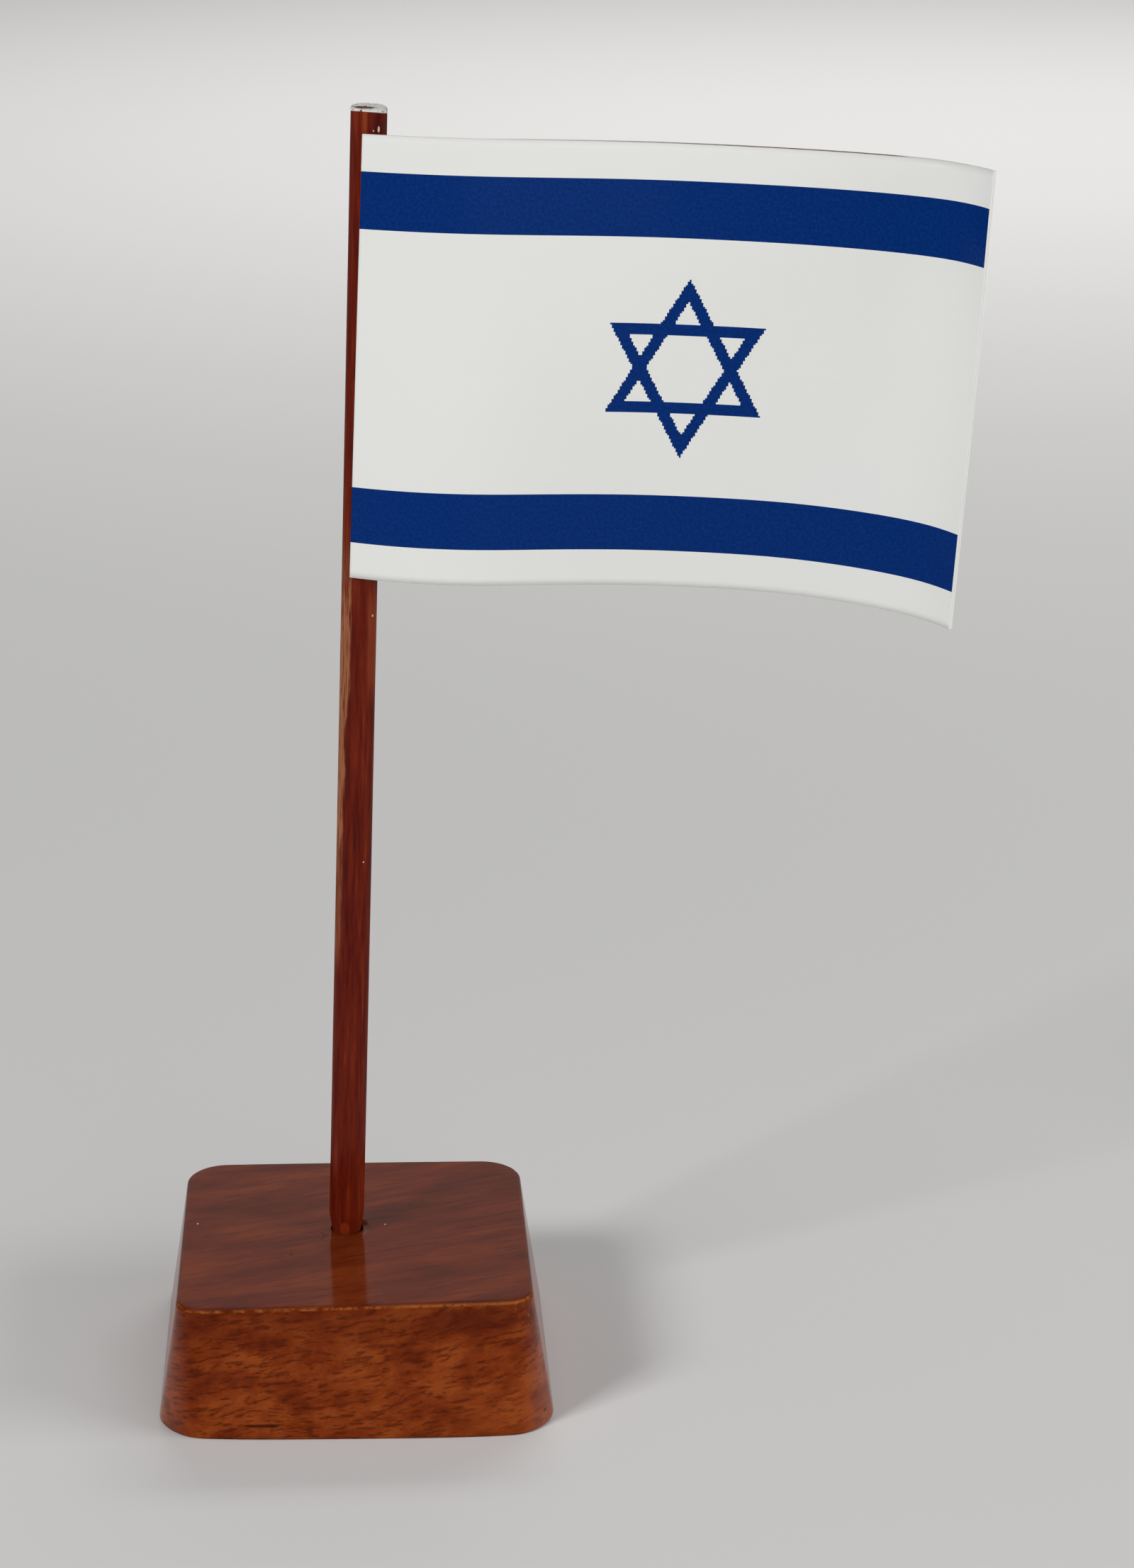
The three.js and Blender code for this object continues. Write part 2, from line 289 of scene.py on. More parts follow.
def make_block():
    rings, worn, flat = [], [], []

    def add(ring, edge_share, top):
        rings.append(ring)
        worn.extend(edge_share if isinstance(edge_share, list) else [edge_share] * len(ring))
        flat.extend([top] * len(ring))

    for i in range(FOOT_STEPS + 1):
        angle = math.radians(90 * i / FOOT_STEPS)
        height = FOOT_ROUNDING * (1 - math.cos(angle))
        inset = FOOT_ROUNDING * (1 - math.sin(angle))
        add(block_ring(height, inset), 0.5 * (1 - i / FOOT_STEPS), 0.0)
    side_top = BLOCK_HEIGHT - BROW_ROUNDING
    for i in range(1, SIDE_STEPS_UP):
        height = blend(FOOT_ROUNDING, side_top, i / SIDE_STEPS_UP)
        add([sanded(p, SANDING) for p in block_ring(height, 0)], 0.0, 0.0)
    for i in range(BROW_STEPS + 1):
        angle = math.radians(90 * i / BROW_STEPS)
        height = BLOCK_HEIGHT - BROW_ROUNDING * (1 - math.sin(angle))
        inset = BROW_ROUNDING * (1 - math.cos(angle))
        ring = block_ring(height, inset)
        edge_share = []
        for k, point in enumerate(ring):
            dent = max(wobble(point.x, point.y, 0, 2.2, 5) - 0.25, 0)
            round_off = math.sin(2 * angle)
            ring[k] = sanded(point, BROW_SANDING + DENT_DEPTH * dent * round_off)
            edge_share.append(round_off)
        add(ring, edge_share, i / BROW_STEPS)
    brow = rings[-1]
    over_top, mouth = top_rings(brow)
    for ring in over_top:
        add(ring, 0.0, 1.0)
    for depth, wider in HOLE_WALL:
        wall = []
        for point in mouth:
            local = socket_frame.inverted() @ point
            way = Vector((local.x, local.y, 0)).normalized()
            wall.append(socket_frame @ (way * (SOCKET_RADIUS + wider) - Vector((0, 0, depth))))
        add(wall, 0.0, 0.2)
    points, faces = skin_rings(rings)
    worn += [0.0, 0.0]
    flat += [0.0, 0.2]
    return make_piece("wooden_block", points, faces, points, {"worn": worn, "on_top": flat})


block = make_block()
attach(block, "base")
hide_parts("base_block")
print("block has", len(block.data.polygons), "faces")

# %% [markdown]
# ## The stick
#
# The stick is an 8 mm dowel under a coat of red-brown lacquer, a little thinner at
# the top than at the foot. Its foot was cut to size with a knife: six flat cuts
# that run out into the full round. The upper end was sawn a little out of square,
# painted pale, and has chipped since. A stack of rings gives all of that: the
# radius at each angle and height is the smaller of the round and the knife cuts,
# and the rings close over the sawn end.

# %% Stick shape
STICK_RADIUS_LOW = 4.2
STICK_RADIUS_HIGH = 4.05
STICK_LENGTH = 270
STICK_FOOT = 21.6
STICK_SHIFT = Vector((-0.1, -0.15, 0))
FOOT_RADIUS = 3.42
WHITTLE_LENGTH = 5.4
TIP_SLOPE = Vector((-0.01, 0.06))
UNEVENNESS = 0.02
KNIFE_CUTS = (
    # facing, radius, height at which the full round is reached
    (-97, 3.3, 3.4), (-38, 3.3, 5.4), (18, 3.26, 6.2),
    (78, 3.34, 5.0), (138, 3.3, 5.8), (-158, 3.42, 5.2),
)
stick_frame = socket_frame @ Matrix.Translation(STICK_SHIFT)


def round_radius(height):
    """Radius of the full round, which tapers a little towards the tip."""
    return blend(STICK_RADIUS_LOW, STICK_RADIUS_HIGH, max(height, 0) / STICK_LENGTH)


def stick_radius(angle, height):
    """Distance from the stick's axis to its surface."""
    uneven = UNEVENNESS * wobble(math.cos(angle), math.sin(angle), height / 26, 0.8)
    full = round_radius(height) - UNEVENNESS + uneven
    radius = blend(FOOT_RADIUS, full, ease(-1, WHITTLE_LENGTH, height))
    for facing, cut_radius, reach in KNIFE_CUTS:
        turn = math.cos(angle - math.radians(facing))
        flat = cut_radius + (STICK_RADIUS_LOW - cut_radius) / reach * max(height, 0)
        if turn > 0.5:
            radius = min(radius, flat / turn)
    return radius


def tip_height(x, y):
    return STICK_LENGTH + TIP_SLOPE.x * x + TIP_SLOPE.y * y


print("the stick leans", LEAN_RIGHT, "degrees right and", LEAN_FRONT, "to the front")

# %% Stick shaft
STICK_SIDES = 120
SHAFT_TOP = 262.6  # from here the rings lean over to the slope of the sawn end
LEANING_STEPS = 8
LEANING_RISE = 0.78  # spacing of the heights at which their radius is read
TIP_ROUNDING = 0.35
RING_HEIGHTS = (
    # start, spacing and number: in the socket, on the knife cuts, on the shaft
    (-STICK_FOOT, 0.6, 36), (0, 0.25, 34), (8.5, 2.0, 127),
)
stick_angles = [2 * math.pi * i / STICK_SIDES + math.pi / 2 for i in range(STICK_SIDES)]


def stick_heights():
    return [start + gap * i for start, gap, count in RING_HEIGHTS for i in range(count)]


def on_round(angle, radius, height):
    return Vector((radius * math.cos(angle), radius * math.sin(angle), height))


def shaft_rings():
    """Rings from the foot to just under the rim of the sawn end."""
    rings = []
    for height in stick_heights():
        rings.append([on_round(a, stick_radius(a, height), height) for a in stick_angles])
    for i in range(1, LEANING_STEPS + 1):
        ring = []
        for angle in stick_angles:
            rim = on_round(angle, STICK_RADIUS_HIGH, 0)
            under_rim = tip_height(rim.x, rim.y) - TIP_ROUNDING
            height = blend(SHAFT_TOP, under_rim, i / LEANING_STEPS)
            radius = stick_radius(angle, SHAFT_TOP + i * LEANING_RISE)
            ring.append(on_round(angle, radius, height))
        rings.append(ring)
    return rings


shaft = shaft_rings()
print(len(shaft), "rings along the shaft")

# %% [markdown]
# The sawn end is a small landscape of its own. Its rim has chips broken out of
# it, and its pale paint has flaked off one side. Both come from a smooth
# unevenness that is cut at a threshold. The chips move the points, and each point
# keeps how pale it is, so that the paint can be laid on later.

# %% Stick piece
RIM_STEPS = 7
END_STEPS = 20
CHIP_INWARDS = 0.22
CHIP_DOWN = 0.2
PAINT_BELOW_RIM = 0.08


def chip(x, y):
    """How much paint and wood is broken away at the sawn end's rim, 0 to 1."""
    return ease(0.12, 0.42, wobble(x, y, 3, 1.25, 9) + 0.35 * wobble(x, y, 8, 0.5))


def paint_left(x, y):
    """How much pale paint is left on the sawn end: it has flaked off one side."""
    rough = 0.5 * wobble(x, y, 1, 1.1, 4) + 0.35 * wobble(x, y, 2, 0.4, 6)
    flaked = 1 - math.hypot((x + 1.3) / 2.5, (y + 1.1) / 1.5) + rough
    chip_left = 1 - math.hypot((x + 3.5) / 0.5, (y + 1.5) / 1.6)
    return 1 - max(ease(-0.05, 0.15, flaked), ease(0, 0.3, chip_left))


def rim_rings():
    """Rings round the rim of the sawn end, and how pale each point is."""
    rings, pale = [], []
    for i in range(1, RIM_STEPS + 1):
        turn = math.radians(90 * i / RIM_STEPS)
        ring = []
        for angle in stick_angles:
            rim = on_round(angle, STICK_RADIUS_HIGH, 0)
            broken = chip(rim.x, rim.y)
            inset = TIP_ROUNDING * (1 - math.cos(turn)) + CHIP_INWARDS * broken
            drop = TIP_ROUNDING * (1 - math.sin(turn)) + CHIP_DOWN * broken
            height = tip_height(rim.x, rim.y) - drop
            ring.append(on_round(angle, STICK_RADIUS_HIGH - inset, height))
            pale.append((1 - broken) * ease(1, 3, i))
        rings.append(ring)
    return rings, pale


def end_rings(rim):
    """Rings from the rim to the middle of the sawn end, and how pale each point is."""
    rings, pale = [], []
    for i in range(1, END_STEPS):
        keep = 1 - i / END_STEPS
        ring = []
        for point in rim:
            x, y = point.x * keep, point.y * keep
            rough = 0.05 * wobble(x, y, 0, 0.5) + 0.03 * wobble(x, y, 5, 0.2)
            ring.append(Vector((x, y, tip_height(x, y) - PAINT_BELOW_RIM + rough)))
            pale.append(paint_left(x, y))
        rings.append(ring)
    return rings, pale


def make_stick():
    rim, rim_pale = rim_rings()
    end, end_pale = end_rings(rim[-1])
    own, faces = skin_rings(shaft + rim + end)
    pale = [0.0] * (len(shaft) * STICK_SIDES) + rim_pale + end_pale + [0.0, 1.0]
    points = [stick_frame @ p for p in own]
    return make_piece("lacquered_stick", points, faces, own, {"pale": pale})


stick = make_stick()
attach(stick, "flag_pole")
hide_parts("pole")
print("stick has", len(stick.data.polygons), "faces")

# %% [markdown]
# ## The printed flag
#
# Two glossy prints are glued back to back into one stiff sheet. Such a sheet bends
# only one way at a time, like paper, so cloth simulation would be wrong for it:
# its shape is a row of straight lines, each turned a little from the last. The
# sheet is walked from hoist to fly in short steps, and at each step it turns
# towards a heading that is smoothly drawn through nine stations. The upper and
# the lower edge have headings of their own, because the sheet twists slightly.

# %% Flag shape
FLAG_WIDTH = 143.7
FLAG_HEIGHT = 100
FLAG_BELOW_TIP = 5.4
FLAG_TOP = STICK_LENGTH - FLAG_BELOW_TIP
PRINT_THICKNESS = 0.3
FILM_THICKNESS = 0.1
LAYER_GAP = 0.03
GLUE_THICKNESS = 0.4
FLAG_DEPTH = 2 * PRINT_THICKNESS + FILM_THICKNESS + 2 * LAYER_GAP
HOIST_RADIUS = round_radius(FLAG_TOP - FLAG_HEIGHT) + GLUE_THICKNESS + FLAG_DEPTH
ROW_DROP = 0.004
REAR_RISE = 0.2
HOIST_ANGLE = (-15.9, -26.2)
UPPER_HEADINGS = (-9, -1, 6, 5, -3, -8, -15, -30, -70)
LOWER_HEADINGS = (-21, -6, 8, 6, -2, -10, -25, -40, -62)
SHEET_COLUMNS = 220
SHEET_ROWS = 60


def heading_along(stations, along):
    """A smooth curve through the stations, read at along, from 0 to 1."""
    place = along * (len(stations) - 1)
    i = min(int(place), len(stations) - 2)
    before, here, after, beyond = (
        stations[min(max(k, 0), len(stations) - 1)] for k in (i - 1, i, i + 1, i + 2))
    t = place - i
    rise, next_rise = (after - before) / 2, (beyond - here) / 2
    a = 2 * here - 2 * after + rise + next_rise
    b = -3 * here + 3 * after - 2 * rise - next_rise
    return math.radians(((a * t + b) * t + rise) * t + here)


def heading(along, down):
    return blend(heading_along(UPPER_HEADINGS, along), heading_along(LOWER_HEADINGS, along), down)


def hoist_point(down):
    ends = []
    for angle in HOIST_ANGLE:
        way = Vector((math.sin(math.radians(angle)), -math.cos(math.radians(angle)), 0))
        ends.append(way * HOIST_RADIUS)
    return ends[0].lerp(ends[1], down)


def sheet_row(down, steps=SHEET_COLUMNS, width=FLAG_WIDTH):
    """Points of the sheet's front face along one row, each with the way to its back."""
    place = hoist_point(down)
    start = place.x
    step = width / steps
    row = []
    for i in range(steps + 1):
        turn = heading(i * step / FLAG_WIDTH, down)
        drop = FLAG_HEIGHT * down + ROW_DROP * (place.x - start)
        point = Vector((place.x, place.y, FLAG_TOP - drop))
        row.append((point, Vector((-math.sin(turn), math.cos(turn), 0))))
        middle = heading((i + 0.5) * step / FLAG_WIDTH, down)
        place = place + Vector((math.cos(middle), math.sin(middle), 0)) * step
    return row


sheet_rows = [sheet_row(r / SHEET_ROWS) for r in range(SHEET_ROWS + 1)]
print("the sheet's fly edge ends at", tuple(round(v, 1) for v in sheet_rows[0][-1][0]))

# %% Flag pieces
def rear_rise(along):
    """How far the rear layers stand above the front print at the upper edge."""
    return REAR_RISE * ease(0.16, 0.26, along) * (1 - ease(0.86, 0.95, along))


def make_layer(name, near, far, rise):
    """One layer of the flag, between two depths behind its front face."""
    grids, own = [], []
    for depth in (near, far):
        grid = []
        for r, row in enumerate(sheet_rows):
            line = []
            for c, (point, back) in enumerate(row):
                along = c / SHEET_COLUMNS
                lift = rise(along) if rise else 0
                line.append(stick_frame @ (point + back * depth + Vector((0, 0, lift))))
                own.append((along * FLAG_WIDTH, FLAG_HEIGHT * r / SHEET_ROWS - lift, depth))
            grid.append(line)
        grids.append(grid)
    points, faces = skin_sheet(*grids)
    rim = 2 * (SHEET_COLUMNS + SHEET_ROWS)
    return make_piece(name, points, faces, own, flat_faces=rim)


film_near = PRINT_THICKNESS + LAYER_GAP
film_far = film_near + FILM_THICKNESS
back_near = film_far + LAYER_GAP
front_print = make_layer("front_print", 0, PRINT_THICKNESS, None)
film = make_layer("film_of_adhesive", film_near, film_far, rear_rise)
back_print = make_layer("back_print", back_near, FLAG_DEPTH, rear_rise)

for piece, node, slot in (
    (front_print, "flag_front_print", "front_print"),
    (film, "adhesive_film", "adhesive"),
    (back_print, "flag_back_print", "back_print"),
):
    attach(piece, "flag_pole")
    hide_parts(node)
print("three layers, each", len(front_print.data.polygons), "faces")

# %% [markdown]
# ## The glue
#
# A line of wood glue was run down the front of the stick and the sheet was
# pressed on it, so the glue spread and dried with an uneven edge. It is a narrow
# strip between two curved faces, the stick's and the back print's, so its section
# is worked out from both at every height and its edge wanders.

# %% Glue line
GLUE_STEPS = 140
GLUE_ACROSS = 10
GLUE_GAP = 0.03
GLUE_FROM = 0.35  # the line's width, from the hoist edge inwards
GLUE_TO = 2.7
GLUE_ENDS = (0.985, 0.015)  # share of the way down the sheet
STRIP_WIDTH = 6  # only this much of the sheet is followed
STRIP_STEPS = 60


def make_glue_line():
    rings = []
    for i in range(GLUE_STEPS + 1):
        down = blend(*GLUE_ENDS, i / GLUE_STEPS)
        row = sheet_row(down, STRIP_STEPS, STRIP_WIDTH)
        height = FLAG_HEIGHT * down
        from_edge = GLUE_FROM + 0.16 * wobble(height, 0, 0, 4)
        to_edge = GLUE_TO + 0.35 * wobble(height, 7, 0, 6) + 0.15 * wobble(height, 3, 0, 1.4)
        outer, inner = [], []
        for j in range(GLUE_ACROSS + 1):
            distance = blend(from_edge, to_edge, j / GLUE_ACROSS)
            point, back = row[round(distance / STRIP_WIDTH * STRIP_STEPS)]
            face = point + back * (FLAG_DEPTH + GLUE_GAP)
            reach = math.hypot(face.x, face.y)
            scale = (round_radius(face.z) + GLUE_GAP) / reach
            outer.append(face)
            inner.append(Vector((face.x * scale, face.y * scale, face.z)))
        rings.append(outer + inner[::-1])
    own, faces = skin_rings(rings)
    return make_piece("glue_line", [stick_frame @ p for p in own], faces, own)


glue = make_glue_line()
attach(glue, "flag_pole")
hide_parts("glue_bead")
print("glue line has", len(glue.data.polygons), "faces")

# %% [markdown]
# ## A bench for finishes
#
# Each finish is a small program of shader nodes. `Wire` holds the output socket
# of a node and lets it be used in sums, so that a mask reads as arithmetic.
# `Finish` makes one material: its `add` method puts in any node, with its
# settings first and then the values or wires of its sockets.

# %% Finish helpers
class Wire:
    """One output socket of a finish, usable in sums with numbers and other wires."""

    def __init__(self, finish, socket):
        self.finish = finish
        self.socket = socket

    def sum_with(self, operation, first, second):
        return self.finish.add("Math", {0: first, 1: second}, operation=operation)

    def __add__(self, other):
        return self.sum_with("ADD", self, other)

    def __radd__(self, other):
        return self.sum_with("ADD", other, self)

    def __sub__(self, other):
        return self.sum_with("SUBTRACT", self, other)

    def __rsub__(self, other):
        return self.sum_with("SUBTRACT", other, self)

    def __mul__(self, other):
        return self.sum_with("MULTIPLY", self, other)

    def __rmul__(self, other):
        return self.sum_with("MULTIPLY", other, self)

    def __truediv__(self, other):
        return self.sum_with("DIVIDE", self, other)

    def __lt__(self, other):
        return self.sum_with("LESS_THAN", self, other)

    def __gt__(self, other):
        return self.sum_with("GREATER_THAN", self, other)

    def __abs__(self):
        return self.sum_with("ABSOLUTE", self, 0)


class Finish:
    """A material under construction."""

    def __init__(self, name):
        self.material = bpy.data.materials.new(name)
        self.material.use_nodes = True
        self.tree = self.material.node_tree
        self.shader = self.tree.nodes["Principled BSDF"]

    def add(self, kind, sockets=None, out=0, **settings):
        node = self.tree.nodes.new("ShaderNode" + kind)
        for key, value in settings.items():
            if key == "stops":
                self.set_stops(node.color_ramp, value)
            else:
                setattr(node, key, value)
        for key, value in (sockets or {}).items():
            self.feed(node.inputs[key], value)
        return Wire(self, node.outputs[out])

    def feed(self, socket, value):
        if isinstance(value, Wire):
            self.tree.links.new(value.socket, socket)
        else:
            socket.default_value = value

    def set_stops(self, ramp, stops):
        while len(ramp.elements) < len(stops):
            ramp.elements.new(1)
        for element, (place, colour) in zip(ramp.elements, stops):
            element.position = place
            element.color = (*colour, 1)

    def own(self):
        """The point's place in the piece's own measure, in mm."""
        return self.add("Attribute", out="Vector", attribute_name="own_mm")

    def value(self, name):
        return self.add("Attribute", out="Fac", attribute_name=name)

    def parts(self, vector):
        node = self.add("SeparateXYZ", {0: vector}).socket.node
        return [Wire(self, socket) for socket in node.outputs]

    def vector(self, x, y, z):
        return self.add("CombineXYZ", {0: x, 1: y, 2: z})

    def noise(self, vector, scale, detail=3, roughness=0.5, distortion=0):
        sockets = {"Vector": vector, "Scale": scale, "Detail": detail,
                   "Roughness": roughness, "Distortion": distortion}
        return self.add("TexNoise", sockets, out="Fac")

    def step(self, value, low, high):
        """0 below low, 1 above high, smooth between; falls if high is below low."""
        rising = high > low
        sockets = {0: value, 1: min(low, high), 2: max(low, high),
                   3: 0 if rising else 1, 4: 1 if rising else 0}
        return self.add("MapRange", sockets, interpolation_type="SMOOTHSTEP")

    def paint(self, factor, under, over):
        """under where factor is 0, over where it is 1."""
        sockets = {0: factor, 6: under, 7: over}
        return self.add("Mix", sockets, out=2, data_type="RGBA")

    def snapped(self, value, step):
        """The value rounded to the middle of its step of a grid."""
        return self.add("Math", {0: value, 1: step}, operation="SNAP") + step / 2

    def larger(self, first, second):
        return self.add("Math", {0: first, 1: second}, operation="MAXIMUM")

    def bump(self, height, strength, distance, below=None):
        sockets = {"Height": height, "Strength": strength, "Distance": distance}
        if below:
            sockets["Normal"] = below
        return self.add("Bump", sockets)

    def coat_with(self, **sockets):
        """Sets sockets of the shader, given as words joined by underscores."""
        for key, value in sockets.items():
            name = key.replace("_", " ").title().replace("Ior", "IOR")
            self.feed(self.shader.inputs[name], value)

    def put_on(self, *pieces):
        for piece in pieces:
            piece.data.materials.clear()
            piece.data.materials.append(self.material)


def rgb(red, green, blue):
    """A colour given as it looks on a screen, 0 to 255, turned to linear light."""
    def linear(v):
        v = v / 255
        return v / 12.92 if v < 0.04045 else ((v + 0.055) / 1.055) ** 2.4
    return (linear(red), linear(green), linear(blue), 1)


print("finish bench ready")

# %% [markdown]
# ## Varnished wood
#
# The block is one solid piece of a red-brown wood, so its figure is made in space
# and runs round the corners as a cut through timber does. The grain runs along the
# block and climbs a little to the right. Pores are long thin cells: a noise
# squeezed across the grain, and cut at a threshold, gives short dark flecks on the
# sides, where the saw crossed the grain at a shallow angle, and long thin lines on
# the top. Broad clouds lighten and darken the ground. A varnish lies over it as a
# clear coat: thin on the front, fuller on the top and on the two flanks, and worn
# through to pale wood along the front brow and its right corner. That pale golden
# line is also a painted highlight, and the clear coat is taken off along it. A few
# dents, specks and scratches are set where hands left them, because a surface
# without any accident looks made by a machine.

# %% Varnished wood finish
DARK_MARKS = (
    # place on the block and half sizes, in mm
    ((-15.1, -11.1, 31.5), (0.32, 0.6, 0.5)),
    ((13.6, 15.5, 31.5), (0.3, 0.6, 0.5)),
    ((-22.4, -45, 3.5), (4.6, 3, 0.45)),
    ((44.1, -42, 3.6), (0.5, 6, 0.5)),
)
PALE_MARKS = (
    ((-38.1, 7.1, 31.5), (0.22, 0.4, 0.5)),
    ((7.4, 4.5, 31.5), (0.18, 0.35, 0.5)),
)
SCRATCHES = (
    # both ends on the top face, in mm
    ((-8.0, 0.5), (-7.3, -1.2)),
    ((-6.4, -0.8), (-7.3, -1.2)),
    ((-7.9, -3.2), (-7.3, -1.2)),
)
SIDE_PORE = rgb(70, 20, 5)
TOP_PORE = rgb(52, 20, 12)
OLD_STAIN = rgb(80, 24, 6)
WARM_WOOD = rgb(158, 76, 30)
BARE_WOOD_AND_HIGHLIGHT = rgb(168, 100, 48)
DARK_EDGE = rgb(60, 20, 10)
DENT_SHADE = rgb(46, 14, 9)
SPECK = rgb(214, 196, 178)


def spots(finish, marks):
    """1 inside each small soft ellipsoid, given as its place and half sizes in mm."""
    mask = None
    for place, half in marks:
        parts = zip(finish.parts(finish.own()), place, half)
        dx, dy, dz = ((axis - centre) / size for axis, centre, size in parts)
        mark = finish.step(dx * dx + dy * dy + dz * dz, 1.3, 0.5)
        mask = mark if mask is None else mask + mark
    return mask


def scratches(finish, x, y, ends):
    """1 along thin straight scratches on the top face."""
    mask = None
    for (from_x, from_y), (to_x, to_y) in ends:
        run_x, run_y = to_x - from_x, to_y - from_y
        reach = run_x ** 2 + run_y ** 2
        place = (x - from_x) * (run_x / reach) + (y - from_y) * (run_y / reach)
        place = finish.add("Clamp", {0: place})
        off_x = x - from_x - place * run_x
        off_y = (y - from_y - place * run_y) * 0.5
        mark = finish.step(off_x * off_x + off_y * off_y, 0.05, 0.012)
        mask = mark if mask is None else mask + mark
    return mask


def side_figure(finish, along, rise, depth):
    """Colour of the sawn sides, and how much of a dark fleck lies at each point."""
    blotch = finish.noise(finish.vector(along * 0.1, rise * 0.16, depth * 0.1), 1, 4, 0.6)
    dash = finish.noise(finish.vector(along * 0.25, rise * 1.05, depth * 0.25), 1, 3, 0.6)
    hair = finish.noise(finish.vector(along * 0.7, rise * 3.4, depth * 0.7), 1, 2, 0.6)
    ground = finish.add("ValToRGB", {0: blotch}, stops=(
        (0.34, rgb(104, 37, 9)[:3]), (0.48, rgb(128, 52, 16)[:3]), (0.64, rgb(150, 70, 26)[:3])))
    fleck = finish.step(dash, 0.49, 0.64) * 0.62 + finish.step(hair, 0.5, 0.75) * 0.25
    return finish.paint(fleck, ground, SIDE_PORE), fleck


def top_figure(finish, along, depth):
    """Colour of the top, and how much of a dark line lies at each point."""
    cloud = finish.noise(finish.vector(along * 0.03, depth * 0.12, 4), 1, 3, 0.6)
    line = finish.noise(finish.vector(along * 0.04, depth * 0.75, 2), 1, 4, 0.62, 0.1)
    pore = finish.noise(finish.vector(along * 0.16, depth * 2.6, 6), 1, 3, 0.65)
    ground = finish.add("ValToRGB", {0: cloud}, stops=(
        (0.35, rgb(95, 35, 13)[:3]), (0.5, rgb(111, 43, 16)[:3]), (0.65, rgb(126, 53, 21)[:3])))
    dark = finish.step(line, 0.5, 0.7) * 0.42 + finish.step(pore, 0.5, 0.7) * 0.42
    return finish.paint(dark, ground, TOP_PORE), dark


def worn_brow_and_highlight(finish, x, y, z, worn, front):
    """1 where the varnish is worn through and a highlight is painted: the front brow and its right
    corner.
    """
    patch = finish.noise(finish.vector(x * 0.35, y * 0.35, z * 0.35), 1, 4, 0.65)
    nick = finish.noise(finish.vector(x * 0.8, y * 0.8, z * 0.5), 1, 4, 0.7)
    strong = finish.step(x, -5, 30) * 0.16
    brow = front * finish.step(worn, 0.45, 1) * finish.step(patch + strong, 0.42, 0.6)
    corner = finish.step(x, 36, 38.5) * front * finish.step(z, 22, 29)
    return brow * finish.step(nick, 0.3, 0.52) + corner * finish.step(nick, 0.56, 0.66)


def varnished_wood():
    finish = Finish("varnished_wood")
    x, y, z = finish.parts(finish.own())
    top = finish.value("on_top")
    worn = finish.value("worn")
    sway = finish.noise(finish.vector(x * 0.03, y * 0.05, z * 0.06), 1, 2) - 0.5
    side, fleck = side_figure(finish, x + z * 0.21, z - x * 0.17 + sway * 6, y)
    over, dark = top_figure(finish, x + y * 0.35, y - x * 0.33 + sway * 4)
    blotch = spots(finish, [((27, -42, 27.5), (13, 5, 3.2))])
    side = finish.paint(finish.step(z, 16, 31) * 0.4 + blotch * 0.3, side, OLD_STAIN)
    side = finish.paint(finish.step(x - z * 2, 0, 34) * 0.3, side, WARM_WOOD)
    wood = finish.paint(top, side, over)

    front = finish.step(y, -33, -38)
    # Painted highlight and wear: pale golden wood along the front brow and its right corner.
    wood = finish.paint(worn_brow_and_highlight(finish, x, y, z, worn, front) * 0.7, wood, BARE_WOOD_AND_HIGHLIGHT)
    wood = finish.paint((1 - front) * worn * 0.2, wood, DARK_EDGE)
    marks = spots(finish, DARK_MARKS) + scratches(finish, x, y, SCRATCHES) * top
    wood = finish.paint(marks * 0.8, wood, DENT_SHADE)
    wood = finish.paint(spots(finish, PALE_MARKS), wood, SPECK)

    gloss = finish.step(finish.noise(finish.own(), 0.5, 4, 0.7), 0.35, 0.75)
    relief = finish.bump(fleck * (1 - top) + dark * top, 0.12, 0.00008)
    relief = finish.bump(finish.noise(finish.own(), 0.12, 2), 0.25, 0.0006, relief)
    flank = finish.step(abs(x), 38, 43) * 0.7
    coat = (0.12 + flank + (0.3 - flank) * top) * (1 - front * finish.step(worn, 0.1, 0.5))
    finish.coat_with(base_color=wood, roughness=0.42 + 0.12 * gloss, normal=relief,
                     coat_weight=coat, coat_roughness=0.11, coat_ior=1.5,
                     specular_ior_level=0.0)
    finish.put_on(block)


varnished_wood()
print("the block is varnished")

# %% [markdown]
# ## Lacquered stick
#
# Lacquer wiped along a dowel pools in lengthwise streaks, so every pattern here is
# stretched ten to thirty times along the stick. A tan stripe runs down its left
# side below the flag, where the lacquer was rubbed thin, and fades out further
# down; the stripe is also a painted reflection along that edge. A paler streak on
# the right side of the shaft and a pale band just under the tip are painted
# highlights, and the right side just under the tip is darkened as painted shade.
# Near the foot the colour turns warmer, and one knife cut has caught less
# stain. The sawn tip carries pale paint that has flaked off one side, and a few
# pale drips have dried on the shaft.

# %% Lacquered stick finish
DRIPS = (
    # place on the stick and half sizes, in mm
    ((2.15, -3.5, 265.5), (0.24, 1.5, 0.7)),
    ((1.0, -4.0, 265.2), (0.13, 1.2, 0.22)),
    ((3.1, -2.7, 155.1), (0.18, 1.2, 0.3)),
    ((2.2, -3.5, 95.6), (0.17, 1.2, 0.2)),
)
LACQUER_POOL = rgb(52, 11, 8)
WARM_LACQUER = rgb(122, 38, 14)
TAN_WOOD_AND_REFLECTION = rgb(158, 100, 68)
RIGHT_SIDE_SHADE = rgb(60, 16, 14)
LACQUER_HIGHLIGHT = rgb(146, 66, 36)
CUT_WOOD = rgb(150, 56, 20)
DRIP = rgb(214, 196, 182)


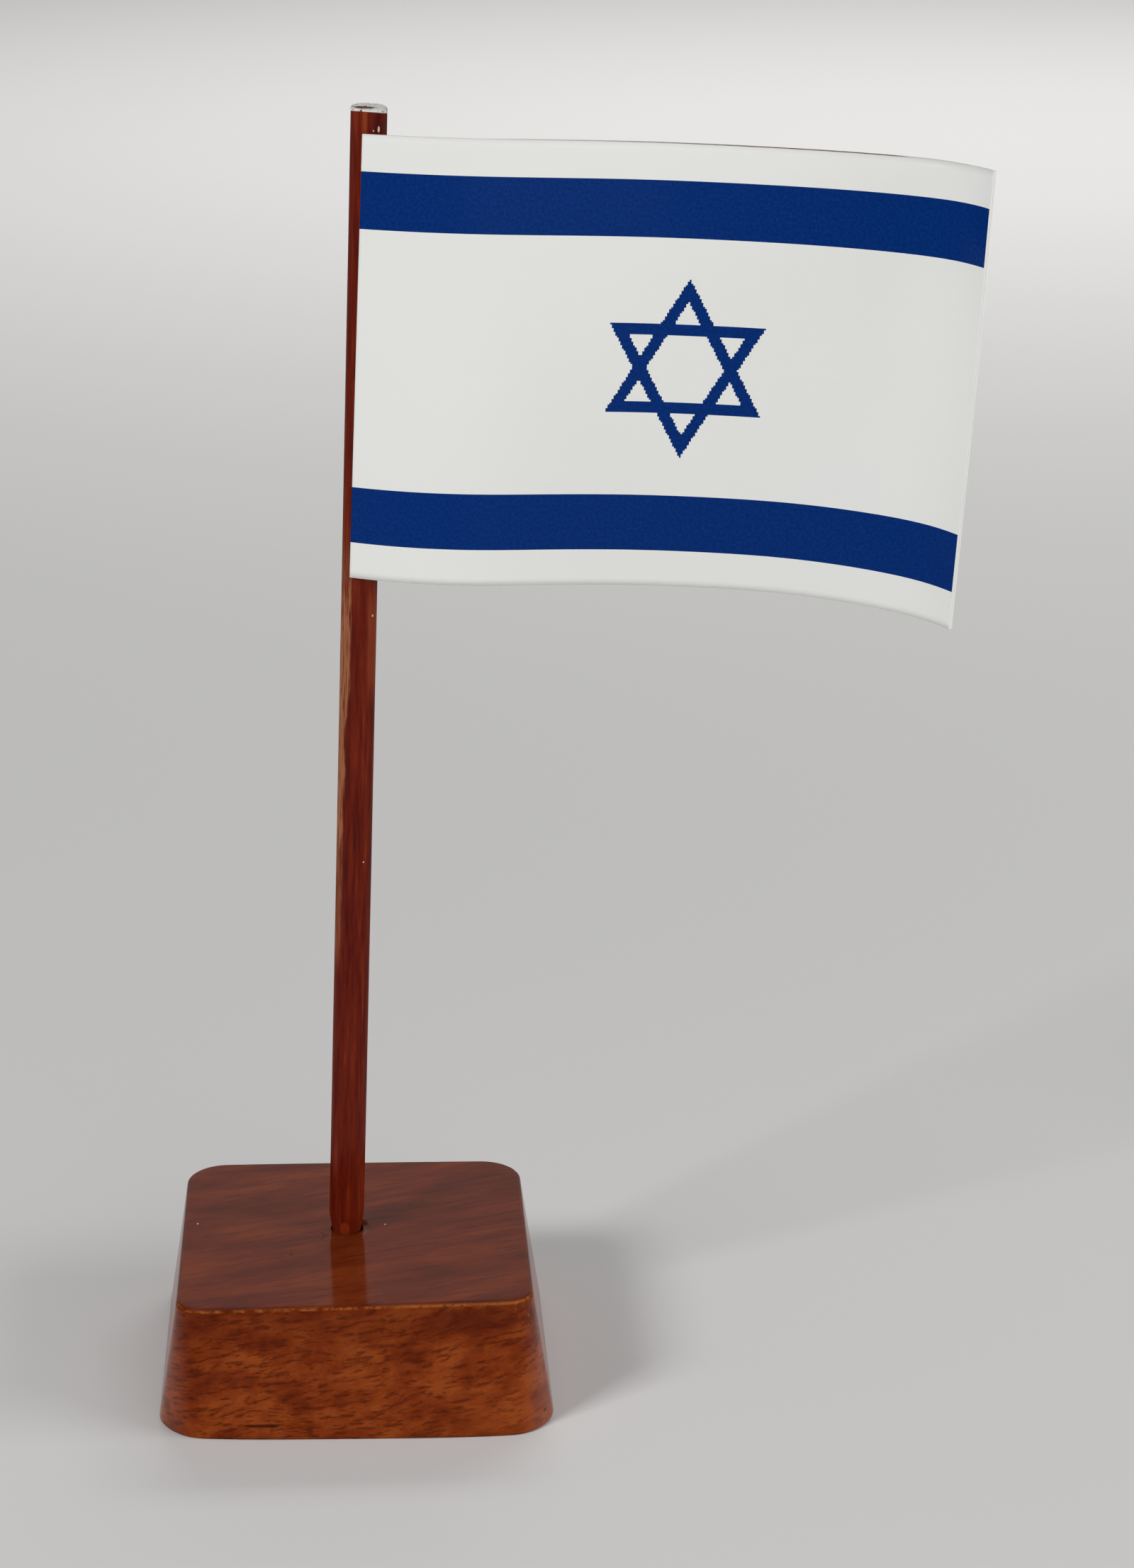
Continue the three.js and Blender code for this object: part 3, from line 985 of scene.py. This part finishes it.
def worn_stripe_and_reflection(finish, x, y, z, waver):
    """1 in the stripe at the left below the flag, with a wavering edge: rubbed-thin lacquer that
    is also a painted reflection.
    """
    edge = x + waver * 1.6 + finish.step(z, 146, 120) * 0.9
    fading = finish.step(z, 96, 106) + finish.step(z, 66, 76) * 0.6
    stripe = finish.step(edge, -1.5, -2.3) * finish.step(y, 1.0, -0.6)
    return stripe * fading * finish.step(z, 178, 150)


def tip_paint(finish, x, y, z, fleck):
    """1 where the paint of the sawn end runs over its rim."""
    rim = finish.step(x * x + y * y, 13, 13.8)
    end = finish.step(z + (y + 4.05) * 0.13 + x * 0.043, 269.2, 269.35) * rim
    end = end * finish.step(fleck, 0.6, 0.54)
    return finish.larger(finish.value("pale"), end)


def lacquered_stick():
    finish = Finish("lacquered_stick")
    x, y, z = finish.parts(finish.own())
    broad = finish.noise(finish.vector(x * 0.4, y * 0.4, z * 0.035), 1, 3, 0.6)
    streak = finish.noise(finish.vector(x * 1.1, y * 1.1, z * 0.07), 1, 4, 0.65, 0.2)
    hair = finish.noise(finish.vector(x * 4, y * 4, z * 0.14), 1, 3, 0.6)
    colour = finish.add("ValToRGB", {0: broad * 0.5 + streak * 0.5}, stops=(
        (0.36, rgb(68, 17, 11)[:3]), (0.46, rgb(94, 24, 12)[:3]),
        (0.55, rgb(108, 33, 15)[:3]), (0.66, rgb(130, 48, 22)[:3])))
    colour = finish.paint(finish.step(hair, 0.52, 0.75) * 0.35, colour, LACQUER_POOL)
    colour = finish.paint(finish.step(z, 16, 1) * 0.4, colour, WARM_LACQUER)

    waver = finish.noise(finish.vector(1, 2, z * 0.09), 1, 3) - 0.5
    stripe_and_reflection = worn_stripe_and_reflection(finish, x, y, z, waver)
    stripe_and_reflection = stripe_and_reflection * finish.step(hair * 0.6 + streak * 0.4, 0.6, 0.46)
    # Tan stripe: rubbed-thin lacquer, and also a painted reflection along the stick's left edge.
    colour = finish.paint(stripe_and_reflection * 0.85, colour, TAN_WOOD_AND_REFLECTION)
    # Painted highlights: a paler streak down the front of the shaft's right side, and a pale band
    # on the front just under the tip.
    right = finish.step(x + waver, 1.6, 2.6) * finish.step(y, 1.0, -0.6)
    right = right * finish.step(z, 132, 142) * finish.step(z, 166, 156)
    crown = finish.step(abs(x + 0.9), 0.8, 0.2) * finish.step(z, 258, 268) * finish.step(y, 0, -1)
    # Painted shade: the right side of the stick just under the tip is darkened.
    shadow = finish.step(x, 0.6, 1.6) * finish.step(z, 255, 266)
    colour = finish.paint(shadow * 0.5, colour, RIGHT_SIDE_SHADE)
    colour = finish.paint(right * 0.5 + crown * 0.7, colour, LACQUER_HIGHLIGHT)
    cut = spots(finish, [((-0.45, -3.6, 1.2), (1.25, 1.2, 2.1))])
    colour = finish.paint(cut * 0.7, colour, CUT_WOOD)

    fleck = finish.noise(finish.own(), 0.9, 4, 0.7)
    bright = finish.paint(finish.step(fleck, 0.5, 0.62), rgb(226, 226, 222), rgb(196, 190, 182))
    pale = tip_paint(finish, x, y, z, fleck)
    colour = finish.paint(pale, colour, bright)
    colour = finish.paint(spots(finish, DRIPS), colour, DRIP)

    ridges = finish.noise(finish.vector(x * 1.2, y * 1.2, z * 0.03), 1, 2)
    relief = finish.bump(ridges, 0.2, 0.0002)
    relief = finish.bump(finish.noise(finish.own(), 2.2, 3) * pale, 0.8, 0.0002, relief)
    finish.coat_with(base_color=colour, roughness=0.45 + pale * 0.3, normal=relief,
                     coat_weight=0.16 - 0.16 * pale, coat_roughness=0.13, coat_ior=1.5,
                     specular_ior_level=0.0)
    finish.put_on(stick)


lacquered_stick()
print("the stick is lacquered")

# %% [markdown]
# ## The prints
#
# The design is drawn by arithmetic on the sheet's own measure: distance from the
# hoist and distance below the upper edge, in mm. Two bands are plain ranges. The
# six-pointed star is two triangles, and a triangle's outline is the set of points
# whose greatest distance past its three sides lies within the band's width. The
# design was printed from a coarse drawing, so the star's slanting edges are
# stepped: the measure is rounded to a fine grid before the star is drawn.

# %% Print finishes
BANDS = ((8.05, 20.7), (78.95, 91.75))
STAR_CENTRE = (74.05, 49.9)
STAR_SIDE_DISTANCE = 10.15
STAR_BAND = 2.6
PRINT_GRID = 0.42
BLUE_ENDS = 143.35


def star_mask(finish, across, below):
    """1 inside the bands of the six-pointed star."""
    x = across - STAR_CENTRE[0]
    y = STAR_CENTRE[1] - below
    lean = math.sqrt(3) / 2
    star = None
    for up in (1, -1):
        sides = [y * -up, x * lean + y * (0.5 * up), x * -lean + y * (0.5 * up)]
        far = finish.larger(finish.larger(sides[0], sides[1]), sides[2])
        band = (far < STAR_SIDE_DISTANCE) * (far > STAR_SIDE_DISTANCE - STAR_BAND)
        star = band if star is None else finish.larger(star, band)
    return star


def print_finish(name, piece, turned):
    finish = Finish(name)
    across, below, depth = finish.parts(finish.own())
    ink = star_mask(finish, finish.snapped(across, PRINT_GRID), finish.snapped(below, PRINT_GRID))
    for upper, lower in BANDS:
        ink = ink + (below > upper) * (below < lower)
    ink = ink * (across < BLUE_ENDS)
    outer = (depth > FLAG_DEPTH - 0.02) if turned else (depth < 0.02)
    ink = ink * outer

    mottle = finish.noise(finish.own(), 1.4, 3, 0.7)
    wash = finish.noise(finish.own(), 0.02, 1, 0.5)
    blue = finish.paint(finish.step(mottle, 0.35, 0.7), rgb(5, 42, 107), rgb(10, 52, 124))
    white = finish.paint(finish.step(wash, 0.2, 0.8), rgb(237, 238, 234), rgb(239, 240, 237))
    smudge = finish.step(finish.noise(finish.own(), 0.55, 4, 0.75), 0.68, 0.76)
    white = finish.paint(smudge * 0.10, white, rgb(150, 146, 138))
    colour = finish.paint(ink, white, blue)

    ripple = finish.noise(finish.vector(across * 0.05, below * 0.015, depth), 1, 2)
    relief = finish.bump(ripple, 0.3, 0.0006)
    relief = finish.bump(finish.noise(finish.own(), 3.5, 2), 0.06, 0.00004, relief)
    finish.coat_with(base_color=colour, roughness=0.36 + 0.08 * mottle, normal=relief,
                     coat_weight=0.1, coat_roughness=0.2, coat_ior=1.45, specular_ior_level=0.0)
    finish.put_on(piece)


print_finish("front_print", front_print, False)
print_finish("back_print", back_print, True)
print("the flag is printed on both sides")

# %% [markdown]
# ## Adhesives
#
# The film of adhesive between the prints is brown along part of the upper edge,
# where the rear print stands a little high. On the other edges it was cut off flush
# and is as pale as the paper. The glue on the stick dried amber, with small bubbles
# in it.

# %% Adhesive finishes
def film_finish():
    finish = Finish("adhesive_film")
    patch = finish.noise(finish.own(), 0.35, 4, 0.7)
    across, below = finish.parts(finish.own())[:2]
    colour = finish.paint(finish.step(patch, 0.35, 0.65), rgb(104, 78, 68), rgb(142, 122, 110))
    # Brown only along part of the upper edge; the rest of the film is as pale as the paper.
    shown = finish.step(below, 1.2, 0.8) * finish.step(across, 122, 116)
    shown = shown * finish.step(across, 22, 95)
    colour = finish.paint(shown, rgb(222, 221, 216), colour)
    relief = finish.bump(finish.noise(finish.own(), 2.5, 3), 0.4, 0.0001)
    finish.coat_with(base_color=colour, roughness=0.5 + 0.2 * patch, normal=relief)
    finish.put_on(film)


def glue_finish():
    finish = Finish("dried_glue")
    cloud = finish.noise(finish.own(), 0.8, 4, 0.65)
    bubble = finish.add("TexVoronoi", {"Vector": finish.own(), "Scale": 1.6}, out="Distance")
    colour = finish.paint(finish.step(cloud, 0.3, 0.7), rgb(186, 150, 96), rgb(216, 196, 150))
    colour = finish.paint(finish.step(bubble, 0.16, 0.05) * 0.5, colour, rgb(236, 228, 204))
    relief = finish.bump(finish.step(bubble, 0.05, 0.3) + cloud, 0.5, 0.0002)
    finish.coat_with(base_color=colour, roughness=0.25 + 0.2 * cloud, normal=relief,
                     coat_weight=0.4, coat_roughness=0.15)
    finish.put_on(glue)


film_finish()
glue_finish()
print("adhesives done")

# %% [markdown]
# ## Floor and light
#
# A matt, pale floor runs far out on all sides, so that nothing but floor is seen
# behind the flag. The room itself is dim. A small, strong lamp at the upper left
# and a wider, lower one at the right throw two soft shadows that cross, and these
# tie the block to the floor. A low, wide lamp in front lifts the upright sheet
# above the brightness of the floor. A pale card far behind lights little, but it
# is what the varnished top and the edges of the stick mirror. Four more lamps hang
# high and aim outwards, over the floor that is seen beyond the object from each
# side.

# %% Floor
FLOOR_HALF = 9.0


def make_floor():
    corners = [(-1, -1), (1, -1), (1, 1), (-1, 1)]
    mesh = bpy.data.meshes.new("floor")
    mesh.from_pydata([(x * FLOOR_HALF, y * FLOOR_HALF, 0) for x, y in corners], [], [(0, 1, 2, 3)])
    floor = bpy.data.objects.new("floor", mesh)
    scene.collection.objects.link(floor)
    finish = Finish("matt_floor")
    finish.coat_with(base_color=rgb(226, 225, 224), roughness=0.8, specular_ior_level=0.2)
    finish.put_on(floor)


make_floor()
print("floor", FLOOR_HALF * 2, "m wide")

# %% Lights
WORLD_GREY = 0.072
LAMPS = {
    # name: place, what it is aimed at, width and height in m, power in W
    "left_lamp": ((-1.05, -0.8, 1.03), (0, 0, 0.1), 0.45, 0.45, 13.2),
    "right_lamp": ((1.2, -0.4, 0.62), (0, 0, 0.1), 0.9, 0.6, 7.4),
    "front_lamp": ((0.7, -1.65, 0.5), (0, 0, 0.15), 1.2, 0.8, 6.1),
    "far_lamp": ((0.6, 2.15, 2.2), (0.6, 3.4, 0), 2.2, 2.0, 60),
    "back_card": ((1.4, 4.9, 1.65), (1.4, 0, 1.65), 8.0, 2.2, 26),
    "near_floor_lamp": ((0, -2.9, 2.2), (0, -5.8, 0), 2.2, 2.0, 60),
    "left_floor_lamp": ((-2.9, 0, 2.2), (-5.8, 0, 0), 2.2, 2.0, 60),
    "right_floor_lamp": ((2.9, 0, 2.2), (5.8, 0, 0), 2.2, 2.0, 60),
}


def make_lamp(name, place, aim, width, height, power):
    data = bpy.data.lights.new(name, "AREA")
    data.shape = "RECTANGLE"
    data.size = width
    data.size_y = height
    data.energy = power
    lamp = bpy.data.objects.new(name, data)
    scene.collection.objects.link(lamp)
    lamp.location = place
    lamp.rotation_mode = "QUATERNION"
    lamp.rotation_quaternion = (Vector(aim) - Vector(place)).to_track_quat("-Z", "Y")


for name, lamp_values in LAMPS.items():
    make_lamp(name, *lamp_values)
world = bpy.data.worlds.new("studio")
world.use_nodes = True
world.node_tree.nodes["Background"].inputs["Color"].default_value = (WORLD_GREY,) * 3 + (1,)
scene.world = world
scene.view_settings.view_transform = "Standard"
print(len(LAMPS), "lamps")
